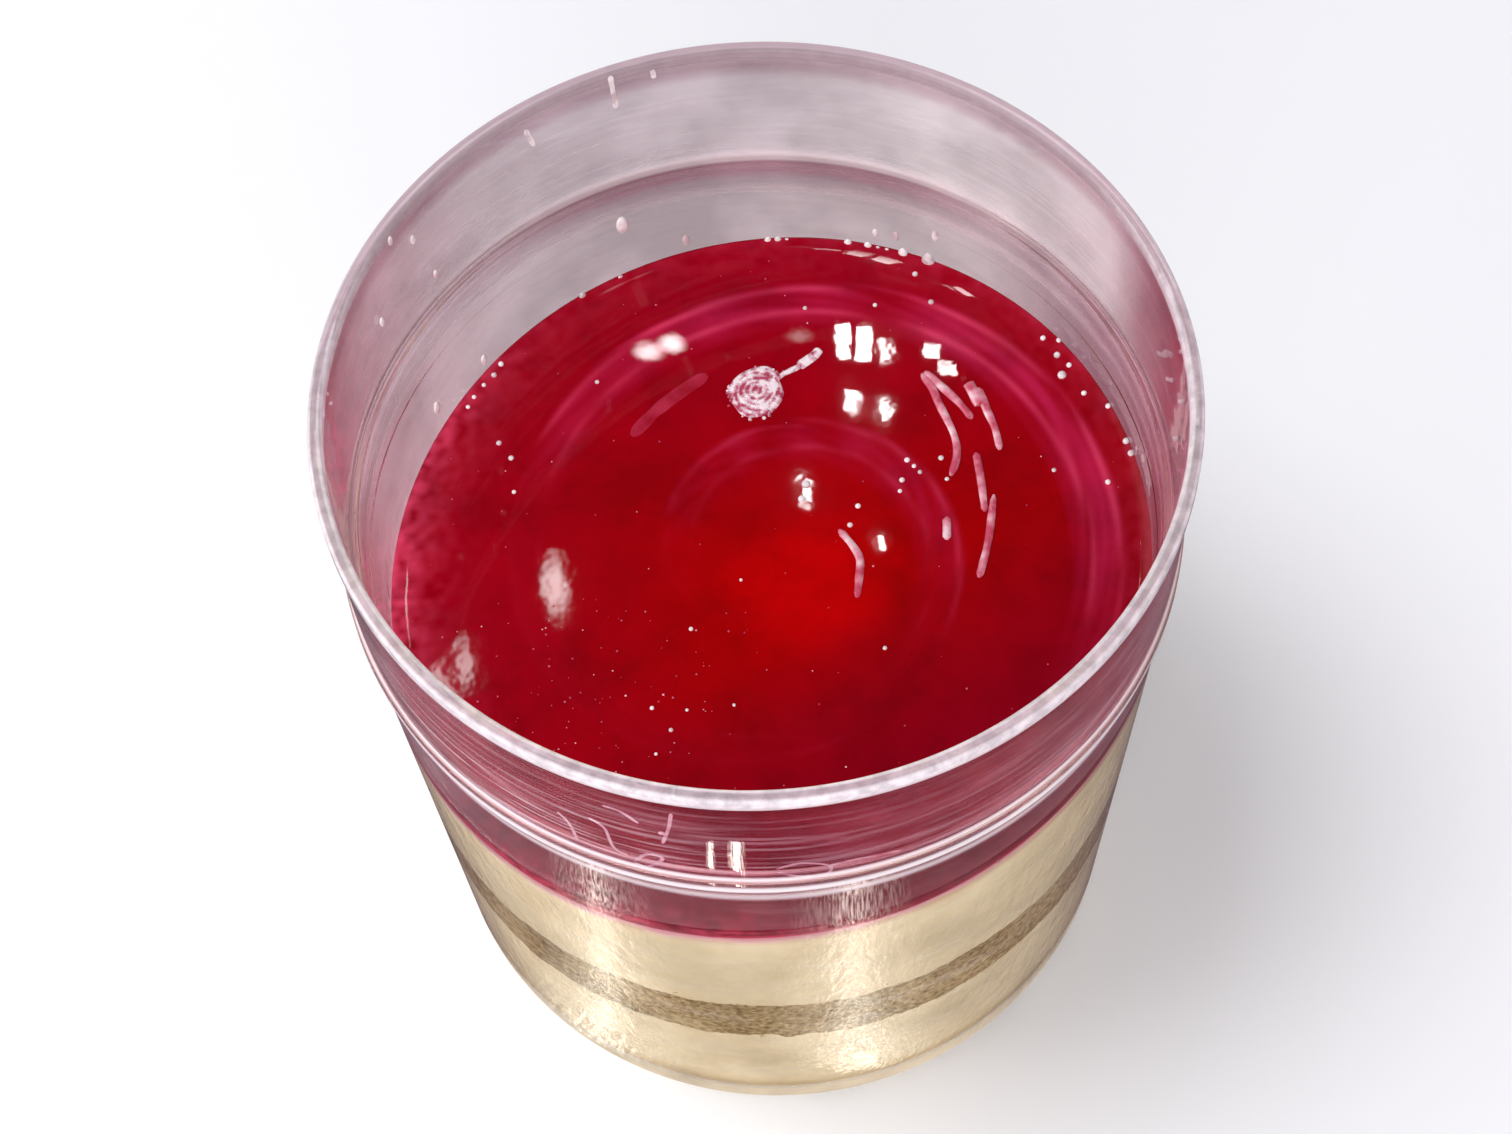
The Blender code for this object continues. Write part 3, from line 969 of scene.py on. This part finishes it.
rings_across = 20
dome = []
for i in range(rings_across + 1):
    share = i / rings_across
    wavelet = 0.12 * math.cos(2 * math.pi * share * froth_radius / froth_ring) * (1 - share)
    dome.append((froth_radius * share, froth_height * (math.sqrt(max(1 - share**2, 0)) + wavelet)))
bm = spun(dome + [(froth_radius * 0.97, -froth_height), (0, -froth_height)], 64)
for vertex in bm.verts:
    lobed = 1 + 0.22 * noise.noise(Vector((vertex.co.x, vertex.co.y, 0)) * 380)
    x = centre.x + vertex.co.x * lobed
    y = centre.y + vertex.co.y * lobed
    vertex.co = (x, y, jelly_surface(x, y) + vertex.co.z)
for pixels, half_wide in ((tail_line, 0.00032), (tail_end, 0.00055)):
    draw_on_jelly(bm, pixels, half_wide, tail_half_high)
bead = ball_shape(2)
random.seed(5)
for _ in range(rim_bubbles):
    turn = random.uniform(-math.pi, math.pi)
    out = froth_radius * random.uniform(0.80, 1.12)
    size = random.uniform(0.00012, 0.00028)
    x = centre.x + out * math.cos(turn)
    y = centre.y + out * math.sin(turn)
    here = Matrix.Translation((x, y, jelly_surface(x, y)))
    add_copy(bm, bead, here @ Matrix.Diagonal((size, size, size, 1)))
set_out("froth_bubble", bm, froth)


# Beads of syrup sit on the jelly and hang on the wall above it, where it splashed when it was poured. They
# are a little pink and partly clear, and painted near white as a painted glint. Each is given by its pixel in
# the photo and how many pixels wide it is.
beads_on_jelly = [
    (902, 480, 5), (900, 491, 4), (947, 479, 4), (941, 458, 5), (511, 458, 5), (514, 492, 4), (597, 382, 4),
    (915, 274, 5), (931, 302, 5), (875, 305, 4), (805, 308, 4), (1043, 338, 5), (1059, 340, 5),
    (1057, 355, 6), (1062, 375, 8), (1069, 365, 5), (1084, 393, 5), (1108, 406, 5), (1126, 441, 6),
    (1131, 453, 6), (1142, 447, 5), (1152, 457, 9), (1108, 482, 5), (1154, 482, 5), (1054, 470, 4),
    (501, 364, 5), (494, 375, 5), (484, 385, 4), (474, 397, 4), (468, 407, 4), (671, 730, 4), (652, 708, 4),
    (687, 710, 3), (656, 754, 3), (734, 705, 3), (691, 629, 4), (741, 580, 3), (858, 506, 5), (850, 525, 5),
    (885, 648, 4), (802, 499, 7), (806, 484, 8), (907, 460, 5), (914, 466, 4), (920, 472, 4), (499, 443, 5),
]
drops_on_wall = [
    (768, 242, 5), (778, 241, 5), (787, 243, 5), (848, 245, 6), (868, 248, 6), (878, 251, 5), (887, 253, 5),
    (903, 255, 7), (928, 262, 9), (875, 233, 4), (896, 236, 4), (935, 236, 5), (622, 225, 8), (686, 240, 5),
    (621, 280, 5), (583, 297, 5), (484, 360, 5), (437, 408, 6), (436, 274, 4), (413, 240, 4), (390, 241, 4),
    (382, 322, 4),
]
pixel_size = 0.0001
bead_share = 0.6
bead_flatness = 0.7
drop_share = 0.85
drop_flatness = 0.6
drop_tallness = 2.1

# Near white for a painted glint, and only partly clear.
syrup, tree, shader = plain_finish("syrup_bead")
cloud = mottle(tree, object_place(tree), 600.0, 3.0)
give(tree, shader, {
    "Base Color": ramp(tree, cloud, [(0.36, (0.90, 0.70, 0.75)), (0.50, (1.0, 0.97, 0.98))]), "IOR": 1.38,
    "Transmission Weight": ranged(tree, cloud, 0.40, 0.60, 0.40, 0.10),
    "Roughness": ranged(tree, cloud, 0.3, 0.7, 0.02, 0.12)})


def seated(spot, out, size, flatness, tall=1.0):
    """Puts a flattened ball on a surface, sunk a little into it."""
    turned = out.to_track_quat("Z", "Y").to_matrix().to_4x4()
    return Matrix.Translation(spot) @ turned @ Matrix.Diagonal((size, size * tall, size * flatness, 1))


def inward(spot):
    return Vector((-spot.x, -spot.y, 0)).normalized()


bm = bmesh.new()
bead = ball_shape(3)
for px, py, across in beads_on_jelly:
    spot = on_surface(px, py, jelly_surface)
    add_copy(bm, bead, seated(spot, jelly_out(spot), across * pixel_size * bead_share, bead_flatness))
set_out("syrup_beads", bm, syrup)

bm = bmesh.new()
for px, py, across in drops_on_wall:
    spot = on_wall(px, py, inner_radius, far=True)
    size = across * pixel_size * drop_share
    add_copy(bm, bead, seated(spot, inward(spot), size, drop_flatness, drop_tallness))
set_out("wall_drops", bm, syrup)


# Fine specks of froth and fruit lie all over the jelly, most of them at the
# front and the left.
speck_count = 220
speck_flatness = 0.6

speck_finish, tree, shader = plain_finish("fruit_speck")
kinds = mottle(tree, object_place(tree), 350.0, 1.0)
give(tree, shader, {
    "Base Color": ramp(tree, kinds, [
        (0.42, (0.42, 0.03, 0.09)), (0.55, (0.60, 0.13, 0.22)), (0.68, (0.95, 0.62, 0.66))]),
    "Roughness": ranged(tree, kinds, 0.0, 1.0, 0.25, 0.5)})

random.seed(23)
bm = bmesh.new()
bead = ball_shape(1)
for _ in range(speck_count):
    turn = random.uniform(-math.pi, math.pi)
    out = (jelly_radius - 0.0015) * math.sqrt(random.random())
    x = out * math.cos(turn)
    y = out * math.sin(turn)
    if random.random() < 0.55:
        x = random.gauss(-0.020, 0.008)
        y = random.gauss(-0.014, 0.009)
    if math.hypot(x, y) > jelly_radius - 0.001:
        continue
    size = random.uniform(0.00004, 0.00011) * random.choice((1.0, 1.0, 1.4))
    add_copy(bm, bead, seated(Vector((x, y, jelly_surface(x, y))), upwards, size, speck_flatness))
set_out("froth_specks", bm, speck_finish)


# Thin smears of syrup have dried on the inside of the collar: at the front a drawn-out loop, some squiggles
# at the left and short runs, and a few broader ones at the back, which are painted glints.
smears = [
    [(776, 864), (800, 858), (828, 860), (826, 868), (800, 871), (778, 867)],
    [(828, 860), (860, 853), (900, 845)],
    [(590, 812), (606, 822), (616, 842), (630, 850)],
    [(604, 800), (622, 806), (640, 818)],
    [(636, 856), (648, 849), (664, 853), (650, 861), (637, 857)],
    [(664, 838), (670, 822), (672, 808)],
    [(560, 806), (572, 818), (580, 834)],
]
far_glint_smears = [[(610, 76), (613, 92), (616, 108)], [(525, 130), (534, 146)], [(652, 70), (654, 78)]]
smear_half_wide = 0.00020
smear_half_high = 0.00005
far_glint_width = 1.6
collar_drops = [(663, 828, 7), (997, 860, 6), (1120, 735, 6), (640, 853, 5), (713, 836, 4)]


def collar_inside(z):
    return rim_radius - lip_width - collar_draft * (cup_height - z) / collar_depth


bm = bmesh.new()
for runs, far, widened in ((smears, False, 1), (far_glint_smears, True, far_glint_width)):
    for pixels in runs:
        line = eased([on_wall(px, py, collar_inside, far) for px, py in pixels], 6)
        outs = [inward(spot) for spot in line]
        lying = [spot + out * smear_half_high * string_lift for spot, out in zip(line, outs)]
        swept(bm, lying, outs, widened * smear_half_wide, smear_half_high, sides=6)
bead = ball_shape(2)
for px, py, across in collar_drops:
    spot = on_wall(px, py, collar_inside, far=False)
    add_copy(bm, bead, seated(spot, inward(spot), across * pixel_size / 2, 0.5))
set_out("collar_smears", bm, syrup)


# Small bright window panes, each placed where the jelly mirrors it towards
# the camera. They light nothing, and show only in what is wet or glossy. Each
# shines in a narrow fan, so that the wall doesn't mirror it a second time.
pane_distance = 0.08
pane_step = 0.002
pane_fan = math.radians(50)
smallest_pane = 0.0004
largest_pane = 0.02
panes = {
    "left_cell": (843, 341, 16, 30, 60),
    "right_cell": (864, 342, 16, 32, 60),
    "beside": (885, 350, 10, 20, 60),
    "soft": (799, 336, 34, 16, 5),
    "round": (852, 401, 14, 18, 60),
    "oval": (884, 411, 10, 20, 60),
    "slant_top": (932, 352, 16, 12, 45),
    "slant": (948, 369, 20, 10, 40),
    "middle": (805, 490, 10, 20, 60),
    "far_left": (649, 353, 40, 22, 26),
    "far_left_end": (672, 345, 36, 20, 30),
    "near_left": (555, 586, 34, 74, 16),
    "corner": (466, 664, 20, 66, 12),
    "dot": (880, 541, 8, 10, 60),
}
soft_panes = ("soft", "far_left", "far_left_end", "near_left", "corner")


def softened(lamp):
    """Fades a pane from its middle to its edges, as a broad dim window looks in the jelly."""
    lamp.data.use_nodes = True
    tree = lamp.data.node_tree
    over_pane = add_node(tree, "NewGeometry").outputs["Parametric"]
    from_middle = vector_maths(tree, "DISTANCE", over_pane, (0.5, 0.5, 0.0))
    fade = ranged(tree, from_middle, 0.10, 0.50, 1.3, 0.0, interpolation_type="SMOOTHSTEP")
    give(tree, tree.nodes["Emission"], {"Strength": fade})


def mirrored(px, py, way):
    """The point above the jelly that it mirrors through a pixel."""
    spot = on_surface(px, py, calm_surface)
    return spot + ray_through(px, py).reflect(jelly_out(spot)) * way


def clear_way(px, py):
    """How far a pane can hang from the jelly without being behind the wall."""
    way = pane_step
    while way < pane_distance:
        there = mirrored(px, py, way + pane_step)
        if there.z < cup_height and math.hypot(there.x, there.y) > jelly_radius:
            break
        way += pane_step
    return way


def pane_size(there, here):
    return held((there - here).length, smallest_pane, largest_pane)


for name, (px, py, wide, high, radiance) in panes.items():
    way = clear_way(px, py)
    middle = mirrored(px, py, way)
    left, right = (mirrored(px + side * wide / 2, py, way) for side in (-1, 1))
    upper, lower = (mirrored(px, py + side * high / 2, way) for side in (-1, 1))
    pane = glint_light("pane_" + name, middle, on_surface(px, py, calm_surface) - middle, upper - lower,
                       pane_size(right, left), pane_size(upper, lower), radiance)
    pane.data.spread = pane_fan
    pane.data.energy *= 1 - (pane_fan / 2) / math.tan(pane_fan / 2)
    if name in soft_panes:
        softened(pane)


# Colours are shown as they are, without a film look, and light has bounces
# enough to pass through both walls of the cup and come back.
scene.view_settings.view_transform = "Standard"
scene.cycles.caustics_reflective = False
scene.cycles.glossy_bounces = 8
scene.cycles.transmission_bounces = 12
scene.cycles.max_bounces = 12
